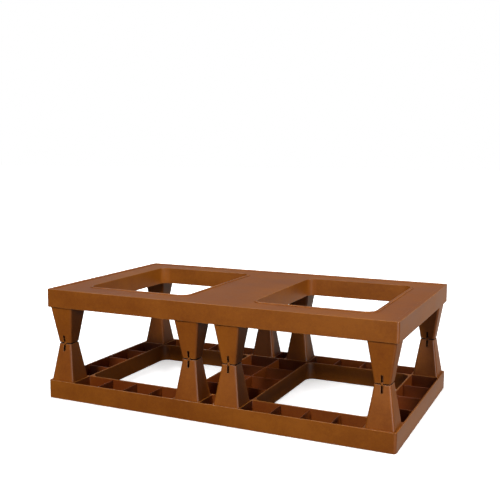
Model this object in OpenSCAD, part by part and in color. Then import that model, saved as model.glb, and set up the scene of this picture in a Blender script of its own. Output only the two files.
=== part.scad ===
// Double hive stand of the knock-down kind, moulded in brown plastic.
// Two like frames lie with their decks outwards, one on the ground and one turned over on top.
// Eight hollow tapered legs plug into each frame. The legs meet tip to tip at half height,
// and a flat key stands in the slots of each pair, so the upper half lifts straight off.
// Millimetres, +Z up, front towards -Y, origin on the ground under the middle of the stand.

/* [Frame] */
// Length of the stand, left to right
frame_w = 960; // [840:1:1100]
// Depth of the stand, front to back
frame_d = 552; // [440:1:680]
// Height of a frame's walls
rim_h = 49; // [35:0.5:70]
// Radius of a frame's upright corners
corner_r = 8; // [2:0.5:16]
// Thickness of the walls round a frame and round its openings
wall_t = 4; // [2.5:0.1:5.5]
// Radius of the openings' corners
opening_r = 24; // [12:1:40]

/* [Deck] */
// Thickness of the deck's panels
deck_t = 3.5; // [2:0.1:6]
// Depth of the shallow recess in the deck's outer face
recess_depth = 2; // [0.8:0.1:4]
// Radius of the recess's outer corners
recess_r = 6; // [2:0.5:12]
// Width of the raised border along the deck's outer edge
border_w = 12; // [8:0.5:18]
// Width of the raised border round each opening
opening_border_w = 8; // [5:0.5:14]

/* [Ribs] */
// Thickness of a rib
rib_t = 3; // [2:0.1:5]
// How far the ribs stop below the walls' edge
rib_drop = 2.5; // [1:0.1:8]
// Cells in a row between an outer leg and an inner leg
long_cells = 4; // [2:1:6]
// Cells in a row between a front leg and a back leg
end_cells = 4; // [2:1:6]
// Rows of cells side by side in the middle beam
middle_rows = 2; // [1:1:4]
// Radius of the cells' upright corners
cell_r = 3; // [1:0.5:6]

/* [Legs] */
// Width of a leg where it stands in its frame
leg_base_w = 69; // [50:0.5:80]
// Width of a leg at its tip
leg_tip_w = 38.5; // [28:0.5:46]
// Length of a leg from the frame's edge to its tip
leg_rise = 101; // [70:1:160]
// Radius of a leg's upright corners
leg_corner_r = 6; // [3:0.5:10]
// Thickness of a leg's walls
leg_wall_t = 3; // [2:0.1:4]
// Thickness of a leg's closed tip
tip_t = 5; // [3:0.1:8]
// Bevel round the edge of a leg's tip
tip_bevel = 0.8; // [0.4:0.1:2]
// Height of the step round a tip's pad, half the groove that shows at the seam
seam_h = 1.1; // [0.4:0.1:2]
// Depth of that groove
seam_in = 4; // [2:0.1:6]
// Ledge between a leg and the faces of its frame
ledge_w = 6; // [5:0.1:14]
// Distance between the two inner legs, centre to centre
inner_leg_spacing = 111; // [95:0.5:150]
// Gap between a leg and the walls of its socket
socket_fit = 0.3; // [0.1:0.05:0.6]

/* [Keys] */
// Thickness of a key
key_t = 5; // [3:0.1:7]
// Height of a key's cross bar, which shows at the seam
key_bar_h = 7.5; // [5:0.1:9]
// Distance from a leg's face to the blades of a key
key_setback = 6; // [4:0.1:9]
// Gap between a key and its slots
key_fit = 0.3; // [0.1:0.05:0.5]
// Depth of a leg's slots from its tip
slot_depth = 21; // [14:0.5:30]
// Thickness of the web across a leg's tip
web_t = 4; // [2:0.1:5]
// Depth of that web from the tip
web_h = 30; // [20:0.5:40]

/* [Hidden] */
brown = [0.49, 0.28, 0.11];
dark_brown = [0.42, 0.24, 0.1];
// Overrun of a cut past the face that it opens
over = 1;
// Directions that the flats of a leg's rounded corners are cut from
corner_step = 22.5;
// How much lower than the faces the corners start to taper, so that no four flats meet at a point
corner_lag = 1.2;
// Least radius of the corners inside a leg and on its tip's pad
small_r = 1;
$fn = 48;

half_h = rim_h + leg_rise;
stand_h = 2 * half_h;
floor_z = recess_depth + deck_t;

beam_w = leg_base_w + 2 * ledge_w;
outer_leg_x = frame_w / 2 - beam_w / 2;
inner_leg_x = inner_leg_spacing / 2;
leg_y = frame_d / 2 - beam_w / 2;
middle_beam_w = inner_leg_spacing + beam_w;

opening_w = frame_w / 2 - beam_w - middle_beam_w / 2;
opening_d = frame_d - 2 * beam_w;
opening_x = (middle_beam_w + opening_w) / 2;

socket_w = leg_base_w + 2 * socket_fit;
socket_reach = socket_w / 2 + wall_t;
inner_beam_w = beam_w - 2 * wall_t;
long_bay = [outer_leg_x - inner_leg_x - 2 * socket_reach, inner_beam_w];
end_bay = [inner_beam_w, 2 * (leg_y - socket_reach)];
middle_bay = [middle_beam_w - 2 * wall_t, end_bay.y];
small_bay = [inner_leg_spacing - 2 * socket_reach, socket_w / 2 + beam_w / 2 - wall_t];
long_bay_x = (outer_leg_x + inner_leg_x) / 2;
small_bay_y = frame_d / 2 - wall_t - small_bay.y / 2;

slot_w = key_t + 2 * key_fit;
bar_seat = key_bar_h / 2 + key_fit;
blade_h = slot_depth - 2 * key_fit;
blade_inner = web_t / 2 + key_fit;
blade_outer = leg_tip_w / 2 - key_setback;
pad_w = leg_tip_w - 2 * seam_in;

// Places of the legs, by the words of their names
columns = [
    ["outer_left", -outer_leg_x],
    ["inner_left", -inner_leg_x],
    ["inner_right", inner_leg_x],
    ["outer_right", outer_leg_x]
];
rows = [["front", -leg_y], ["back", leg_y]];
places = [for (row = rows, column = columns) [str(row[0], "_", column[0]), [column[1], row[1]]]];

module rounded_rect(size, r) {
    square([size.x - 2 * r, size.y], center = true);
    square([size.x, size.y - 2 * r], center = true);
    for (sx = [-1, 1], sy = [-1, 1])
        translate([sx * (size.x / 2 - r), sy * (size.y / 2 - r)]) circle(r);
}

// Both openings of a frame, grown on every side
module openings(grow = 0) {
    for (side = [-1, 1])
        translate([side * opening_x, 0])
            rounded_rect([opening_w + 2 * grow, opening_d + 2 * grow], opening_r + grow);
}

// Cut for a row or block of cells, with the ribs left standing between them
module bay(size, cells) {
    pitch = [(size.x + rib_t) / cells.x, (size.y + rib_t) / cells.y];
    cell = [pitch.x - rib_t, pitch.y - rib_t];
    translate([0, 0, rim_h - rib_drop]) linear_extrude(rib_drop + over) rounded_rect(size, cell_r);
    for (i = [0 : cells.x - 1], j = [0 : cells.y - 1])
        translate([i * pitch.x + (cell.x - size.x) / 2, j * pitch.y + (cell.y - size.y) / 2, floor_z])
            linear_extrude(rim_h) rounded_rect(cell, cell_r);
}

// One frame as it lies on the ground, deck down and cells up
module frame() {
    difference() {
        linear_extrude(rim_h) difference() {
            rounded_rect([frame_w, frame_d], corner_r);
            openings();
        }
        translate([0, 0, -over]) linear_extrude(recess_depth + over) difference() {
            rounded_rect([frame_w - 2 * border_w, frame_d - 2 * border_w], recess_r);
            openings(opening_border_w);
        }
        for (place = places)
            translate([place[1].x, place[1].y, floor_z])
                linear_extrude(rim_h) rounded_rect([socket_w, socket_w], leg_corner_r + socket_fit);
        for (side = [-1, 1]) {
            for (end = [-1, 1])
                translate([end * long_bay_x, side * (frame_d - beam_w) / 2, 0]) bay(long_bay, [long_cells, 1]);
            translate([side * (frame_w - beam_w) / 2, 0, 0]) bay(end_bay, [1, end_cells]);
            translate([0, side * small_bay_y, 0]) bay(small_bay, [1, 1]);
        }
        bay(middle_bay, [middle_rows, end_cells]);
    }
}

// Half the width of a round-cornered square, measured square to a turned direction
function reach(w, r, turn) = (w / 2 - r) * (abs(cos(turn)) + abs(sin(turn))) + r;

// Straight plug in the socket, then a taper to the tip, cut alike from every direction
module post(base_w, tip_w, r, low, high, bevel) {
    intersection_for (turn = [0 : corner_step : 180 - corner_step]) {
        base = reach(base_w, r, turn);
        tip = reach(tip_w, r, turn);
        lag = corner_lag * (1 - abs(cos(2 * turn)));
        side = [[base, low], [base, rim_h - lag], [tip, high - bevel - lag], [tip - bevel, high]];
        other_side = [for (i = [len(side) - 1 : -1 : 0]) [-side[i].x, side[i].y]];
        rotate([90, 0, turn]) linear_extrude(2 * base_w, center = true) polygon(concat(side, other_side));
    }
}

// One leg of the lower frame, open at its foot and closed at its tip, where a raised pad meets the other leg
module leg() {
    hollow_base = leg_base_w - 2 * leg_wall_t;
    hollow_tip = leg_tip_w - 2 * leg_wall_t;
    hollow_r = max(leg_corner_r - leg_wall_t, small_r);
    difference() {
        union() {
            post(leg_base_w, leg_tip_w, leg_corner_r, floor_z, half_h - seam_h, tip_bevel);
            translate([0, 0, half_h - tip_t])
                linear_extrude(tip_t) rounded_rect([pad_w, pad_w], max(leg_corner_r - seam_in, small_r));
        }
        difference() {
            post(hollow_base, hollow_tip, hollow_r, floor_z - over, half_h - tip_t, tip_bevel);
            translate([-leg_base_w / 2, -web_t / 2, half_h - web_h]) cube([leg_base_w, web_t, web_h]);
        }
        for (side = [-1, 1])
            translate([-slot_w / 2, side > 0 ? web_t / 2 : -web_t / 2 - leg_base_w, half_h - slot_depth])
                cube([slot_w, leg_base_w, slot_depth + over]);
        translate([-slot_w / 2, -web_t, half_h - bar_seat]) cube([slot_w, 2 * web_t, bar_seat + over]);
    }
}

// Flat key: a cross bar at the seam and two blades on each side of the webs
module key() {
    bar_reach = leg_tip_w / 2 - key_fit;
    rotate([90, 0, 90]) linear_extrude(key_t, center = true) {
        square([2 * bar_reach, key_bar_h], center = true);
        for (side = [-1, 1])
            translate([side * (blade_inner + blade_outer) / 2, 0])
                square([blade_outer - blade_inner, 2 * blade_h], center = true);
    }
}

module turned_over() {
    translate([0, 0, stand_h]) rotate([180, 0, 0]) children();
}

module lower_frame() {
    color(brown) frame();
}

module upper_frame() {
    color(brown) turned_over() frame();
}

module lower_leg(at) {
    color(brown) translate(at) leg();
}

module upper_leg(at) {
    color(brown) translate(at) turned_over() leg();
}

// The key hangs by its cross bar on the web of the lower leg
module joining_key(at) {
    color(dark_brown) translate([at.x, at.y, half_h - key_fit]) key();
}

lower_frame();
upper_frame();
for (place = places) {
    lower_leg(place[1]);
    upper_leg(place[1]);
    joining_key(place[1]);
}
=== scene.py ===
"""Brown plastic stand: two ribbed frames, sixteen hollow legs and eight joining keys, with their finishes."""

import math

import bmesh
import bpy
from mathutils import Color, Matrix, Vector


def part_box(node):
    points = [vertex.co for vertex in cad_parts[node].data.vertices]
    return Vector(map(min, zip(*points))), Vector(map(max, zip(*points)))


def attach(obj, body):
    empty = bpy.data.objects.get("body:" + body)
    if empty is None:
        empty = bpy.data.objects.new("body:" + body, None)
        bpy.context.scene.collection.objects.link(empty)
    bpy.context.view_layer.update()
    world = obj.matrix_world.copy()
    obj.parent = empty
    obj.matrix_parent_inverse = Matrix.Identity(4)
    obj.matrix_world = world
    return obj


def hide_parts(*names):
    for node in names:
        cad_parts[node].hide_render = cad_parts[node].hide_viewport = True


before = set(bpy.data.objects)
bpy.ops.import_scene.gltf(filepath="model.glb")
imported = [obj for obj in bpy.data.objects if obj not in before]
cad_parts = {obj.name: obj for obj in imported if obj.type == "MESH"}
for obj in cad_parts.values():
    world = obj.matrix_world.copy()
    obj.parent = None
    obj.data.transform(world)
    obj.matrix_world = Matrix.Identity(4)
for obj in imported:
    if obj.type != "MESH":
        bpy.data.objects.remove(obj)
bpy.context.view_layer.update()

MM = 0.001

ROWS = ("front", "back")
COLUMNS = ("outer_left", "inner_left", "inner_right", "outer_right")
PLACES = [f"{row}_{column}" for row in ROWS for column in COLUMNS]
SIDES = (-1, 1)


def size_of(node):
    low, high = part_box(node)
    return high - low


def middle_of(node):
    low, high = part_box(node)
    return (low + high) / 2


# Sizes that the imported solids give
FRAME_W, FRAME_D, RIM_H = size_of("lower_frame")
LEG_BASE_W = size_of("lower_leg_front_outer_left").x
FLOOR_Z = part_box("lower_leg_front_outer_left")[0].z
HALF_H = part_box("lower_leg_front_outer_left")[1].z
KEY_T, KEY_D, KEY_H = size_of("key_front_outer_left")
KEY_Z = middle_of("key_front_outer_left").z
OUTER_X, LEG_Y, _ = middle_of("lower_leg_back_outer_right")
INNER_X = middle_of("lower_leg_back_inner_right").x
BEAM_W = FRAME_W - 2 * OUTER_X

# Frame
CORNER_R = 8 * MM
CORNER_STEPS = 8
WALL_T = 4 * MM
OPENING_R = 24 * MM
OPENING_STEPS = 10
RECESS_DEPTH = 2 * MM
RECESS_R = 6 * MM
BORDER_W = 12 * MM
OPENING_BORDER_W = 8 * MM
RIB_T = 3 * MM
RIB_DROP = 2.5 * MM
CELL_R = 3 * MM
CELL_STEPS = 6
LONG_CELLS = 4
END_CELLS = 4
SOCKET_FIT = 0.3 * MM
FRAME_EDGE_R = 0.9 * MM

# Leg
LEG_TIP_W = 38.5 * MM
LEG_CORNER_R = 6 * MM
LEG_CORNER_STEPS = 5
LEG_WALL_T = 3 * MM
TIP_T = 5 * MM
SEAM_H = 1.1 * MM
SEAM_IN = 4 * MM
SLOT_W = 5.6 * MM
SLOT_DEPTH = 21 * MM
BAR_SEAT = 4.05 * MM
WEB_T = 4 * MM
WEB_H = 30 * MM
LEG_EDGE_R = 0.8 * MM
TIP_EDGE_R = 1.6 * MM
TIP_STEPS = 3

# Key
KEY_BAR_H = 7.5 * MM
BLADE_INNER = 2.3 * MM
BLADE_OUTER = 13.25 * MM
KEY_EDGE_R = 0.5 * MM

# Modelling: how far a cut or a joined rib runs past the face that it meets, gaps that count as none,
# decimals of a metre that corners are rounded to, and the steps of a rounded edge
OVER = 1 * MM
MERGE_GAP = 0.01 * MM
NEAR = 0.1 * MM
GRID = 6
EDGE_STEPS = 2

# Angles: faces that lie flat to each other, edges that get rounded, and creases that stay hard
FLAT = math.radians(0.5)
SHARP = math.radians(35)
CREASE = math.radians(50)
LARGE_FACE_WEIGHT = 100

# Share of a direction from which an edge or face points mostly, or nearly straight, along it
MOSTLY = 0.5
STRAIGHT = 0.9

# Browns are screen colours. The third brown pales edges, as wear and painted highlight, and the fourth is
# painted shade in cells, seams and slots. Flow is how closely the flow marks lie along each axis
PLASTICS = {
    "frame_plastic": {
        "brown": (140, 77, 10),
        "deep_brown": (120, 61, 6),
        "worn_and_highlight_brown": (170, 110, 52),
        "painted_shade_brown": (102, 41, 3),
        "flow": (0.35, 1, 3),
    },
    "leg_plastic": {
        "brown": (140, 76, 10),
        "deep_brown": (120, 60, 6),
        "worn_and_highlight_brown": (174, 114, 54),
        "painted_shade_brown": (54, 22, 8),
        "flow": (3, 3, 0.6),
    },
    "key_plastic": {
        "brown": (134, 72, 11),
        "deep_brown": (112, 56, 7),
        "worn_and_highlight_brown": (160, 102, 46),
        "painted_shade_brown": (48, 20, 8),
        "flow": (3, 3, 1),
    },
}

# Patterns in the plastic: scale, detail and roughness of each noise
CLOUDS = (9, 4, 0.6)
FLOW_MARKS = (5, 3, 0.5)
MOTTLE = (110, 3, 0.6)
SPECKLE = (300, 1, 0.5)
GRAIN = (900, 1, 0.5)
RIPPLE = (11, 2, 0.5)

# Pigment: share of each pattern, and the band of their sum that runs from deep brown to brown
CLOUD_SHARE = 0.41
FLOW_SHARE = 0.27
MOTTLE_SHARE = 0.18
SPECKLE_SHARE = 0.14
DEPTH_BAND = (0.4, 0.6)

# Paling of the edges, as wear and painted highlight, all along them and more in patches, and the painted
# shade in cells, seams and slots
PATCH_BAND = (0.3, 0.65)
WEAR_AND_HIGHLIGHT = 0.25
PATCH_WEAR = 0.35
PAINTED_SHADE_SHARE = 0.95
PAINTED_SHADE_CHANGE = 0.3

# Gloss of the plastic, and its relief
ROUGHNESS = 0.32
CLOUD_ROUGHNESS = 0.16
SPECKLE_ROUGHNESS = 0.08
SHELTER_ROUGHNESS = 0.04
RUBBED_POLISH = 0.06
SPECULAR_LEVEL = 0.25
GRAIN_HEIGHT = 0.12
RELIEF_STRENGTH = 0.35
RELIEF_DEPTH = 0.6 * MM

# Floor: bands in metres from its middle over which it brightens outwards, beside the stand and behind it
FLOOR_W = 60
FLOOR_GAP = 0.5 * MM
FLOOR_ROUGHNESS = 0.9
OUTWARDS_BAND = (0.5, 1.6)
STRIP_START = (0.45, 0.5)
STRIP_END = (0.51, 0.6)
BEHIND_BAND = (0.35, 0.9)
NEAR_GLOW = 0.45
MIRRORED_GLOW = 0.75
BLACK = (0, 0, 0)
WHITE = (255, 255, 255)
WARM_WHITE = (255, 246, 230)
SEEN_FLOOR = (252, 252, 252)
LIT_FLOOR = (120, 118, 115)
MIRRORED_FLOOR = (70, 70, 70)

# World: bands of a direction's parts that bound its backdrop, its ceiling and its soft front light,
# and the strengths of these
BACKDROP_BAND = (-0.1, 0.35)
CEILING_BAND = (0.55, 0.9)
FRONT_BAND = (-0.2, 0.7)
FRONT_TOP_BAND = (0.2, 0.8)
FRONT_TO_RIGHT = 0.3
FRONT_TO_BACK = -0.9
SHONE = 0.07
FRONT_SHONE = 0.18
MIRRORED = 0.1
BACKDROP_MIRRORED = 0.2
CEILING_MIRRORED = 0.4

# Lamps: place and aim in metres, width, height, watts, and whether they light matt and glossy surfaces
LAMPS = {
    "front_lamp": ((0.1, -3, 1.85), (0, 0, 0.15), 0.8, 0.6, 92, True, True),
    "right_lamp": ((2.6, -0.1, 1.85), (0.2, 0, 0.1), 0.6, 0.6, 58, True, True),
    "back_lamp": ((-2, 2.4, 1.8), (0, 0, 0.15), 0.9, 0.9, 75, True, False),
    "strip_lamp": ((2.6, -1.45, 0.35), (0, -0.2, 0.1), 0.25, 0.7, 60, False, True),
    "top_lamp": ((-1.1, -0.9, 1.9), (0, -0.2, 0.1), 0.6, 0.6, 40, False, True),
}

# Camera: millimetres, metres and degrees
LENS = 55.58
SENSOR_W = 36
CAMERA_PLACE = (0.8744, -1.9007, 0.6609)
CAMERA_TURN = (82.9, -0.16, 24.85)


def take(piece):
    """Makes a piece the only one selected, and the active one."""
    bpy.ops.object.select_all(action="DESELECT")
    piece.select_set(True)
    bpy.context.view_layer.objects.active = piece
    return piece


def edit(piece):
    take(piece)
    bpy.ops.object.mode_set(mode="EDIT")


def leave():
    bpy.ops.object.mode_set(mode="OBJECT")


def pick(piece, kind, test):
    """In edit mode, selects only the faces or edges that pass a test."""
    bpy.ops.mesh.select_mode(type=kind)
    bpy.ops.mesh.select_all(action="DESELECT")
    shape = bmesh.from_edit_mesh(piece.data)
    shape.normal_update()
    for part in shape.faces if kind == "FACE" else shape.edges:
        if test(part):
            part.select_set(True)
    bmesh.update_edit_mesh(piece.data)


def upright(edge):
    along = (edge.verts[1].co - edge.verts[0].co).normalized()
    return abs(along.z) > MOSTLY


def faces_up(face):
    return face.normal.z > STRAIGHT


def faces_down(face):
    return face.normal.z < -STRAIGHT


def snap(piece):
    """Rounds a mesh to whole thousandths of a millimetre, so that faces meant to meet do so exactly."""
    for corner in piece.data.vertices:
        corner.co = [round(along, GRID) for along in corner.co]


def block(low, high, corner_r=0, steps=CELL_STEPS):
    """A box between two corners, with its upright edges rounded.

    It has two empty material slots. The second one marks the edges that are rounded later.
    """
    low, high = Vector(low), Vector(high)
    bpy.ops.object.select_all(action="DESELECT")
    bpy.ops.mesh.primitive_cube_add(size=1, location=(low + high) / 2, scale=high - low)
    bpy.ops.object.transform_apply()
    piece = bpy.context.object
    piece.data.materials.append(None)
    piece.data.materials.append(None)
    if corner_r:
        edit(piece)
        pick(piece, "EDGE", upright)
        bpy.ops.mesh.bevel(offset=corner_r, segments=steps, affect="EDGES")
        leave()
    snap(piece)
    return piece


def join_in(piece, blocks, operation):
    """Cuts blocks out of a piece or builds them onto it, and does away with the blocks."""
    tool = take(blocks[0])
    for other in blocks:
        other.select_set(True)
    bpy.ops.object.join()
    take(piece)
    step = piece.modifiers.new("step", "BOOLEAN")
    step.operation = operation
    step.solver = "EXACT"
    step.object = tool
    bpy.ops.object.modifier_apply(modifier=step.name)
    bpy.data.objects.remove(tool)


def cut(piece, *blocks):
    join_in(piece, blocks, "DIFFERENCE")


def build_on(piece, *blocks):
    join_in(piece, blocks, "UNION")


def raise_faces(height):
    """In edit mode, extrudes each selected face upwards, or downwards for a height below zero."""
    bpy.ops.mesh.extrude_faces_indiv()
    bpy.ops.transform.translate(value=(0, 0, height))


def inset_faces(width):
    """In edit mode, parts each selected face into a border and the face within it."""
    bpy.ops.mesh.inset(thickness=width, use_individual=True)


def slim_down(share):
    """In edit mode, draws the selected faces in towards the middle axis."""
    bpy.ops.transform.resize(value=(share, share, 1), center_override=(0, 0, HALF_H))


def put_in_order(piece):
    """Sorts a piece's faces and starts each at its first corner, so that each run gives the same mesh."""
    data = piece.data
    corners = [corner.co[:] for corner in data.vertices]
    slots = {}
    for face in data.polygons:
        ring = tuple(face.vertices)
        start = ring.index(min(ring))
        slots[ring[start:] + ring[:start]] = face.material_index
    rings = sorted(slots)
    data.clear_geometry()
    data.from_pydata(corners, [], rings)
    for face, ring in zip(data.polygons, rings):
        face.material_index = slots[ring]


def sharp_outside(edge):
    return edge.is_manifold and edge.calc_face_angle_signed() > SHARP


def round_off(piece, edge_r, steps, test=sharp_outside):
    """In edit mode, rounds the edges that pass a test. The rounding takes the second material slot."""
    pick(piece, "EDGE", test)
    bpy.ops.mesh.bevel(
        offset=edge_r,
        segments=steps,
        affect="EDGES",
        clamp_overlap=False,
        loop_slide=False,
        material=1,
    )


def soften(piece, edge_r, in_painted_shade):
    """Rounds every sharp outer edge as a mould does.

    The face attribute 'edge' marks the rounding, which pales as wear and painted highlight, and the other
    face attribute marks the faces in cells, seams and slots that get painted shade.
    """
    edit(piece)
    bpy.ops.mesh.select_all(action="SELECT")
    bpy.ops.mesh.remove_doubles(threshold=MERGE_GAP)
    bpy.ops.mesh.dissolve_limited(angle_limit=FLAT, delimit={"MATERIAL"})
    round_off(piece, edge_r, EDGE_STEPS)
    leave()
    piece.data.attributes.new("edge", "FLOAT", "FACE")
    piece.data.attributes.new("painted_shade", "FLOAT", "FACE")
    rounding = piece.data.attributes["edge"].data
    painted_shade = piece.data.attributes["painted_shade"].data
    for face in piece.data.polygons:
        rounding[face.index].value = face.material_index
        painted_shade[face.index].value = in_painted_shade(face)
        face.material_index = 0
    piece.data.materials.clear()
    bpy.ops.object.shade_smooth_by_angle(angle=CREASE)
    even = piece.modifiers.new("even", "WEIGHTED_NORMAL")
    even.weight = LARGE_FACE_WEIGHT
    even.keep_sharp = True
    bpy.ops.object.modifier_apply(modifier=even.name)


def ribs_between(low, high, cells):
    """Places of the ribs' middles that part a length into equal cells."""
    pitch = (high - low + RIB_T) / cells
    return [low + i * pitch - RIB_T / 2 for i in range(1, cells)]


def model_frame():
    """One frame as it lies on the ground, deck down and cells up."""
    half_w, half_d = FRAME_W / 2, FRAME_D / 2
    half_wall, half_rib = WALL_T / 2, RIB_T / 2
    socket = LEG_BASE_W / 2 + SOCKET_FIT
    reach = socket + WALL_T
    top = RIM_H + OVER
    rib_low, rib_top = FLOOR_Z - OVER, RIM_H - RIB_DROP
    opening_x = (INNER_X + BEAM_W / 2, half_w - BEAM_W)
    opening_y = half_d - BEAM_W
    bay_y = (opening_y + WALL_T, half_d - WALL_T)
    long_x = (INNER_X + reach, OUTER_X - reach)
    end_x = (opening_x[1] + WALL_T, half_w - WALL_T)
    end_y = LEG_Y - reach
    middle_x = opening_x[0] - WALL_T
    small_x = INNER_X - reach
    small_y = LEG_Y - socket

    # Faces inside the cells below the rim get painted shade.
    def in_a_cell(face):
        x, y, z = abs(face.center.x), abs(face.center.y), face.center.z
        within = x < half_w - half_wall and y < half_d - half_wall
        below_the_rim = rib_low < z < RIM_H - FRAME_EDGE_R
        along_an_opening = opening_x[0] < x + half_wall and x - half_wall < opening_x[1]
        at_an_opening = along_an_opening and y - half_wall < opening_y
        return within and below_the_rim and not at_an_opening

    def on_side(side, span):
        return sorted((side * span[0], side * span[1]))

    def openings(grow, low, high):
        blocks = []
        for side in SIDES:
            left, right = on_side(side, opening_x)
            near = (left - grow, -opening_y - grow, low)
            far = (right + grow, opening_y + grow, high)
            blocks.append(block(near, far, OPENING_R + grow, OPENING_STEPS))
        return blocks

    def bay(left, right, front, back):
        return block((left, front, FLOOR_Z), (right, back, top), CELL_R)

    def ribs_across_depth(left, right):
        return [
            block((left - OVER, y - half_rib, rib_low), (right + OVER, y + half_rib, rib_top))
            for y in ribs_between(-end_y, end_y, END_CELLS)
        ]

    def ribs_across_length(left, right, front, back):
        return [
            block((x - half_rib, front - OVER, rib_low), (x + half_rib, back + OVER, rib_top))
            for x in ribs_between(left, right, LONG_CELLS)
        ]

    body = block((-half_w, -half_d, 0), (half_w, half_d, RIM_H), CORNER_R, CORNER_STEPS)

    sockets = [
        block((x - socket, y - socket, FLOOR_Z), (x + socket, y + socket, top), LEG_CORNER_R + SOCKET_FIT)
        for x in (-OUTER_X, -INNER_X, INNER_X, OUTER_X)
        for y in (-LEG_Y, LEG_Y)
    ]
    bays = [bay(-middle_x, middle_x, -end_y, end_y)]
    ribs = ribs_across_depth(-middle_x, middle_x)
    for side in SIDES:
        left, right = on_side(side, end_x)
        bays.append(bay(left, right, -end_y, end_y))
        ribs += ribs_across_depth(left, right)
        bays.append(bay(-small_x, small_x, *on_side(side, (small_y, bay_y[1]))))
        front, back = on_side(side, bay_y)
        for end in SIDES:
            left, right = on_side(end, long_x)
            bays.append(bay(left, right, front, back))
            ribs += ribs_across_length(left, right, front, back)
    middle_rib = block((-half_rib, -end_y - OVER, rib_low), (half_rib, end_y + OVER, rib_top))
    recess_x, recess_y = half_w - BORDER_W, half_d - BORDER_W
    recess = block((-recess_x, -recess_y, -OVER), (recess_x, recess_y, RECESS_DEPTH), RECESS_R)
    cut(recess, *openings(OPENING_BORDER_W, -2 * OVER, RECESS_DEPTH + OVER))

    cut(body, *openings(0, -OVER, top), *sockets, *bays)
    build_on(body, *ribs)
    build_on(body, middle_rib)
    cut(body, recess)
    soften(body, FRAME_EDGE_R, in_a_cell)
    return body


def round_the_tip(edge):
    at_the_tip = all(abs(corner.co.z - HALF_H + SEAM_H) < NEAR for corner in edge.verts)
    return at_the_tip and sharp_outside(edge)


# Faces in the seam groove and beside the slots get painted shade.
def in_seam_or_slot(face):
    if face.center.z > HALF_H - SEAM_H - TIP_EDGE_R / TIP_STEPS:
        return True
    beside_slot = abs(face.center.x) < SLOT_W / 2 + LEG_EDGE_R and abs(face.normal.y) < MOSTLY
    return beside_slot and face.center.z > HALF_H - SLOT_DEPTH - LEG_EDGE_R


# The key's blades, which sit down in the slots, get painted shade.
def on_a_blade(face):
    return abs(face.center.z - KEY_Z) > KEY_BAR_H / 2


def model_leg():
    """One leg of the lower half on the middle axis: a straight plug, then a taper, hollow from its foot."""
    half_w = LEG_BASE_W / 2
    leg = block((-half_w, -half_w, FLOOR_Z), (half_w, half_w, RIM_H))
    edit(leg)
    pick(leg, "FACE", faces_up)
    raise_faces(HALF_H - SEAM_H - RIM_H)
    slim_down(LEG_TIP_W / LEG_BASE_W)
    pick(leg, "EDGE", upright)
    bpy.ops.mesh.bevel(offset=LEG_CORNER_R, segments=LEG_CORNER_STEPS, affect="EDGES")
    pick(leg, "FACE", faces_up)
    inset_faces(SEAM_IN)
    raise_faces(SEAM_H)
    round_off(leg, TIP_EDGE_R, TIP_STEPS, round_the_tip)
    pick(leg, "FACE", faces_down)
    inset_faces(LEG_WALL_T)
    raise_faces(RIM_H - FLOOR_Z)
    raise_faces(HALF_H - TIP_T - RIM_H)
    slim_down((LEG_TIP_W - 2 * LEG_WALL_T) / (LEG_BASE_W - 2 * LEG_WALL_T))
    leave()
    put_in_order(leg)

    web_x = LEG_TIP_W / 2 - OVER
    build_on(leg, block((-web_x, -WEB_T / 2, HALF_H - WEB_H), (web_x, WEB_T / 2, HALF_H - TIP_T / 2)))
    slot_low, slot_high = HALF_H - SLOT_DEPTH, HALF_H + OVER
    front_slot = block((-SLOT_W / 2, -half_w, slot_low), (SLOT_W / 2, -WEB_T / 2, slot_high))
    back_slot = block((-SLOT_W / 2, WEB_T / 2, slot_low), (SLOT_W / 2, half_w, slot_high))
    cut(leg, front_slot, back_slot)
    cut(leg, block((-SLOT_W / 2, -WEB_T, HALF_H - BAR_SEAT), (SLOT_W / 2, WEB_T, slot_high)))
    soften(leg, LEG_EDGE_R, in_seam_or_slot)
    return leg


def model_key():
    """One joining key on the middle axis: a cross bar with two blades up and two down."""
    half_bar = KEY_BAR_H / 2
    blade_rise = (KEY_H - KEY_BAR_H) / 2
    key = block((-KEY_T / 2, -KEY_D / 2, KEY_Z - half_bar), (KEY_T / 2, KEY_D / 2, KEY_Z + half_bar))
    edit(key)
    for y in (-BLADE_OUTER, -BLADE_INNER, BLADE_INNER, BLADE_OUTER):
        bpy.ops.mesh.select_all(action="SELECT")
        bpy.ops.mesh.bisect(plane_co=(0, y, 0), plane_no=(0, 1, 0))
    for faces, way in ((faces_up, 1), (faces_down, -1)):

        def under_a_blade(face, faces=faces):
            return faces(face) and BLADE_INNER < abs(face.calc_center_median().y) < BLADE_OUTER

        pick(key, "FACE", under_a_blade)
        raise_faces(way * blade_rise)
    leave()
    soften(key, KEY_EDGE_R, on_a_blade)
    return key


def copy_of(piece, name, place=(0, 0, 0), turned_over=False):
    """A copy with its own mesh, turned over about half height if asked and moved to its place."""
    take(piece)
    bpy.ops.object.duplicate(linked=False)
    twin = bpy.context.object
    twin.name = name
    twin.data.name = name
    if turned_over:
        bpy.ops.transform.rotate(value=math.pi, orient_axis="X", center_override=(0, 0, HALF_H))
    bpy.ops.transform.translate(value=place)
    bpy.ops.object.transform_apply()
    return twin


class Signal:
    """One socket of a finish. Sums on it add Math nodes."""

    def __init__(self, finish, socket):
        self.finish = finish
        self.socket = socket

    def maths(self, operation, first, second):
        return self.finish.add("Math", {"operation": operation}, {0: first, 1: second})

    def __add__(self, other):
        return self.maths("ADD", self, other)

    def __radd__(self, other):
        return self.maths("ADD", other, self)

    def __sub__(self, other):
        return self.maths("SUBTRACT", self, other)

    def __rsub__(self, other):
        return self.maths("SUBTRACT", other, self)

    def __mul__(self, other):
        return self.maths("MULTIPLY", self, other)

    def __rmul__(self, other):
        return self.maths("MULTIPLY", other, self)


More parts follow.
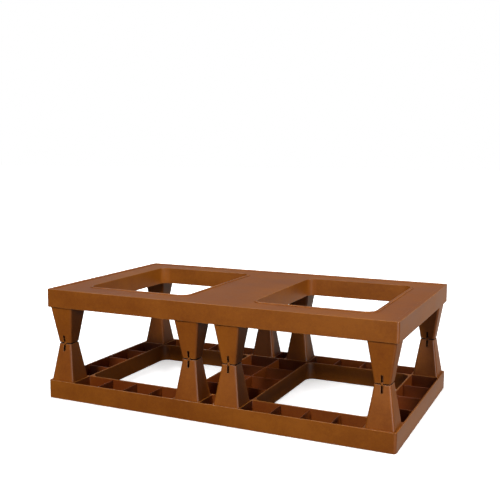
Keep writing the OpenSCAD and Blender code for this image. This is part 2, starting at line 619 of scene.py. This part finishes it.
class Finish:
    """A node tree under way, with the one call that adds nodes to it."""

    def __init__(self, tree):
        self.tree = tree

    def add(self, kind, settings=None, sockets=None, out=0):
        node = self.tree.nodes.new("ShaderNode" + kind)
        for name, value in (settings or {}).items():
            setattr(node, name, value)
        self.set(node, sockets or {})
        return Signal(self, node.outputs[out])

    def set(self, node, sockets):
        for name, value in sockets.items():
            if isinstance(value, Signal):
                self.tree.links.new(value.socket, node.inputs[name])
            else:
                node.inputs[name].default_value = value

    def noise(self, place, pattern):
        scale, detail, roughness = pattern
        sockets = {"Vector": place, "Scale": scale, "Detail": detail, "Roughness": roughness}
        return self.add("TexNoise", {}, sockets)

    def face_mark(self, name):
        """The value that a face attribute gives."""
        return self.add("Attribute", {"attribute_name": name}, {}, out="Fac")

    def part(self, vector, axis):
        return self.add("SeparateXYZ", {}, {0: vector}, out=axis)

    def between(self, value, band):
        """A value spread over a band, to run from 0 at its low end to 1 at its high end."""
        low, high = band
        return self.add("MapRange", {"clamp": True}, {0: value, 1: low, 2: high})

    def blend(self, first, second, share):
        """A colour between two. Sockets 6 and 7 and output 2 are those that a Mix node has for colours."""
        return self.add("Mix", {"data_type": "RGBA"}, {0: share, 6: first, 7: second}, out=2)


def colour(screen):
    """A linear colour from the three numbers of a screen colour."""
    return [*Color([part / 255 for part in screen]).from_srgb_to_scene_linear(), 1]


def moulded_plastic(name, brown, deep_brown, worn_and_highlight_brown, painted_shade_brown, flow):
    """Satin brown plastic: mottled and finely grained, pale on edges as wear and painted highlight, with
    painted shade in cells, seams and slots.
    """
    material = bpy.data.materials.new(name)
    material.use_nodes = True
    finish = Finish(material.node_tree)
    place = finish.add("TexCoord", out="Object")
    flow_place = finish.add("Mapping", {}, {"Vector": place, "Scale": flow})

    clouds = finish.noise(place, CLOUDS)
    flow_marks = finish.noise(flow_place, FLOW_MARKS)
    mottle = finish.noise(place, MOTTLE)
    speckle = finish.noise(place, SPECKLE)
    # Mask of the faces in cells, seams and slots that get painted shade.
    painted_shade = finish.face_mark("painted_shade")
    # Mask of the rounded edges outside the painted shade, which pale as wear and painted highlight.
    wear_and_highlight = finish.face_mark("edge") * (1 - painted_shade)
    patches = finish.between(mottle, PATCH_BAND)

    cloudy = clouds * CLOUD_SHARE + flow_marks * FLOW_SHARE
    depth = finish.between(cloudy + mottle * MOTTLE_SHARE + speckle * SPECKLE_SHARE, DEPTH_BAND)
    pigment = finish.blend(colour(deep_brown), colour(brown), depth)
    # Edges pale towards the third brown, as wear and painted highlight, more in patches.
    pigment = finish.blend(pigment, colour(worn_and_highlight_brown), wear_and_highlight * (WEAR_AND_HIGHLIGHT + PATCH_WEAR * patches))
    # Painted shade: faces in cells, seams and slots darken towards the darkest brown.
    pigment = finish.blend(pigment, colour(painted_shade_brown), painted_shade * (PAINTED_SHADE_SHARE - PAINTED_SHADE_CHANGE * depth))

    roughness = ROUGHNESS + CLOUD_ROUGHNESS * clouds + SPECKLE_ROUGHNESS * speckle
    roughness = roughness - RUBBED_POLISH * wear_and_highlight + SHELTER_ROUGHNESS * painted_shade
    height = finish.noise(place, GRAIN) * GRAIN_HEIGHT + finish.noise(flow_place, RIPPLE)
    relief = {"Strength": RELIEF_STRENGTH, "Distance": RELIEF_DEPTH, "Height": height}
    finish.set(
        material.node_tree.nodes["Principled BSDF"],
        {
            "Base Color": pigment,
            "Roughness": roughness,
            "Normal": finish.add("Bump", {}, relief),
            "Specular IOR Level": SPECULAR_LEVEL,
        },
    )
    return material


def finish_piece(piece, material, body, node):
    piece.data.materials.append(material)
    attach(piece, body)
    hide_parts(node)


def axis_of(node):
    """The point on the ground under a node's middle."""
    axis = middle_of(node)
    axis.z = 0
    return axis


def make_stand():
    plastics = {name: moulded_plastic(name, **values) for name, values in PLASTICS.items()}
    first_frame = model_frame()
    first_leg = model_leg()
    first_key = model_key()
    for half, turned_over in (("lower", False), ("upper", True)):
        body = f"{half}_half"
        frame_piece = copy_of(first_frame, f"{half}_frame_moulding", turned_over=turned_over)
        finish_piece(frame_piece, plastics["frame_plastic"], body, f"{half}_frame")
        for place in PLACES:
            node = f"{half}_leg_{place}"
            leg = copy_of(first_leg, f"{node}_moulding", axis_of(node), turned_over)
            finish_piece(leg, plastics["leg_plastic"], body, node)
    for place in PLACES:
        node = f"key_{place}"
        key = copy_of(first_key, f"{node}_plate", axis_of(node))
        finish_piece(key, plastics["key_plastic"], "lower_half", node)
    for piece in (first_frame, first_leg, first_key):
        bpy.data.objects.remove(piece)


def make_floor():
    """A pale floor that shows white to the camera and keeps the stand's shadow.

    In the plastic's gloss it is bright beside the stand and behind it, and dim in front.
    """
    bpy.ops.object.select_all(action="DESELECT")
    bpy.ops.mesh.primitive_plane_add(size=FLOOR_W, location=(0, 0, -FLOOR_GAP))
    floor = bpy.context.object
    floor.name = "floor"
    material = bpy.data.materials.new("pale_floor")
    material.use_nodes = True
    finish = Finish(material.node_tree)
    seen = finish.add("LightPath", out="Is Camera Ray")
    glossy = finish.add("LightPath", out="Is Glossy Ray")
    place = finish.add("TexCoord", out="Object")
    distance = finish.add("VectorMath", {"operation": "LENGTH"}, {0: place}, out="Value")
    across = finish.part(place, "X")
    outwards = finish.between(distance, OUTWARDS_BAND)
    beside = finish.between(across, STRIP_START) * (1 - finish.between(across, STRIP_END))
    behind = finish.between(finish.part(place, "Y"), BEHIND_BAND)
    seen_glow = seen * (NEAR_GLOW + (1 - NEAR_GLOW) * outwards)
    glossy_glow = glossy * (beside + behind - beside * behind) * MIRRORED_GLOW
    lit = finish.blend(colour(LIT_FLOOR), colour(MIRRORED_FLOOR), glossy)
    white = finish.blend(colour(WHITE), colour(WARM_WHITE), glossy)
    finish.set(
        material.node_tree.nodes["Principled BSDF"],
        {
            "Base Color": finish.blend(lit, colour(SEEN_FLOOR), seen),
            "Roughness": FLOOR_ROUGHNESS,
            "Specular IOR Level": 0,
            "Emission Color": finish.blend(colour(BLACK), white, seen_glow + glossy_glow),
            "Emission Strength": 1,
        },
    )
    floor.data.materials.append(material)


def make_lamp(name, place, aim, width, height, power, matt, gloss):
    light = bpy.data.lights.new(name, "AREA")
    light.shape = "RECTANGLE"
    light.size = width
    light.size_y = height
    light.energy = power
    holder = bpy.data.objects.new(name, light)
    holder.visible_diffuse = matt
    holder.visible_glossy = gloss
    holder.location = place
    holder.rotation_euler = (Vector(aim) - Vector(place)).to_track_quat("-Z", "Y").to_euler()
    bpy.context.scene.collection.objects.link(holder)


def make_studio():
    """White to the camera, pale behind the stand and above it in its gloss, and soft lamps."""
    scene = bpy.context.scene
    scene.view_settings.view_transform = "Standard"
    world = bpy.data.worlds.new("studio")
    world.use_nodes = True
    scene.world = world
    finish = Finish(world.node_tree)
    seen = finish.add("LightPath", out="Is Camera Ray")
    glossy = finish.add("LightPath", out="Is Glossy Ray")
    way = finish.add("TexCoord", out="Generated")
    right = finish.part(way, "X")
    back = finish.part(way, "Y")
    up = finish.part(way, "Z")
    backdrop = finish.between(back, BACKDROP_BAND)
    ceiling = finish.between(up, CEILING_BAND)
    front = finish.between(FRONT_TO_RIGHT * right + FRONT_TO_BACK * back, FRONT_BAND)
    shone = SHONE + FRONT_SHONE * (front * (1 - finish.between(up, FRONT_TOP_BAND)))
    mirrored = MIRRORED + BACKDROP_MIRRORED * backdrop + CEILING_MIRRORED * (1 - backdrop) * ceiling
    strength = seen + (1 - seen) * (glossy * mirrored + (1 - glossy) * shone)
    finish.set(world.node_tree.nodes["Background"], {"Color": colour(WHITE), "Strength": strength})
    for name, values in LAMPS.items():
        make_lamp(name, *values)


def make_camera():
    scene = bpy.context.scene
    view = bpy.data.cameras.new("photo_view")
    view.lens = LENS
    view.sensor_width = SENSOR_W
    camera = bpy.data.objects.new("photo_view", view)
    camera.location = CAMERA_PLACE
    camera.rotation_euler = [math.radians(turn) for turn in CAMERA_TURN]
    scene.collection.objects.link(camera)
    scene.camera = camera


make_camera()
make_stand()
make_floor()
make_studio()

bpy.context.view_layer.update()
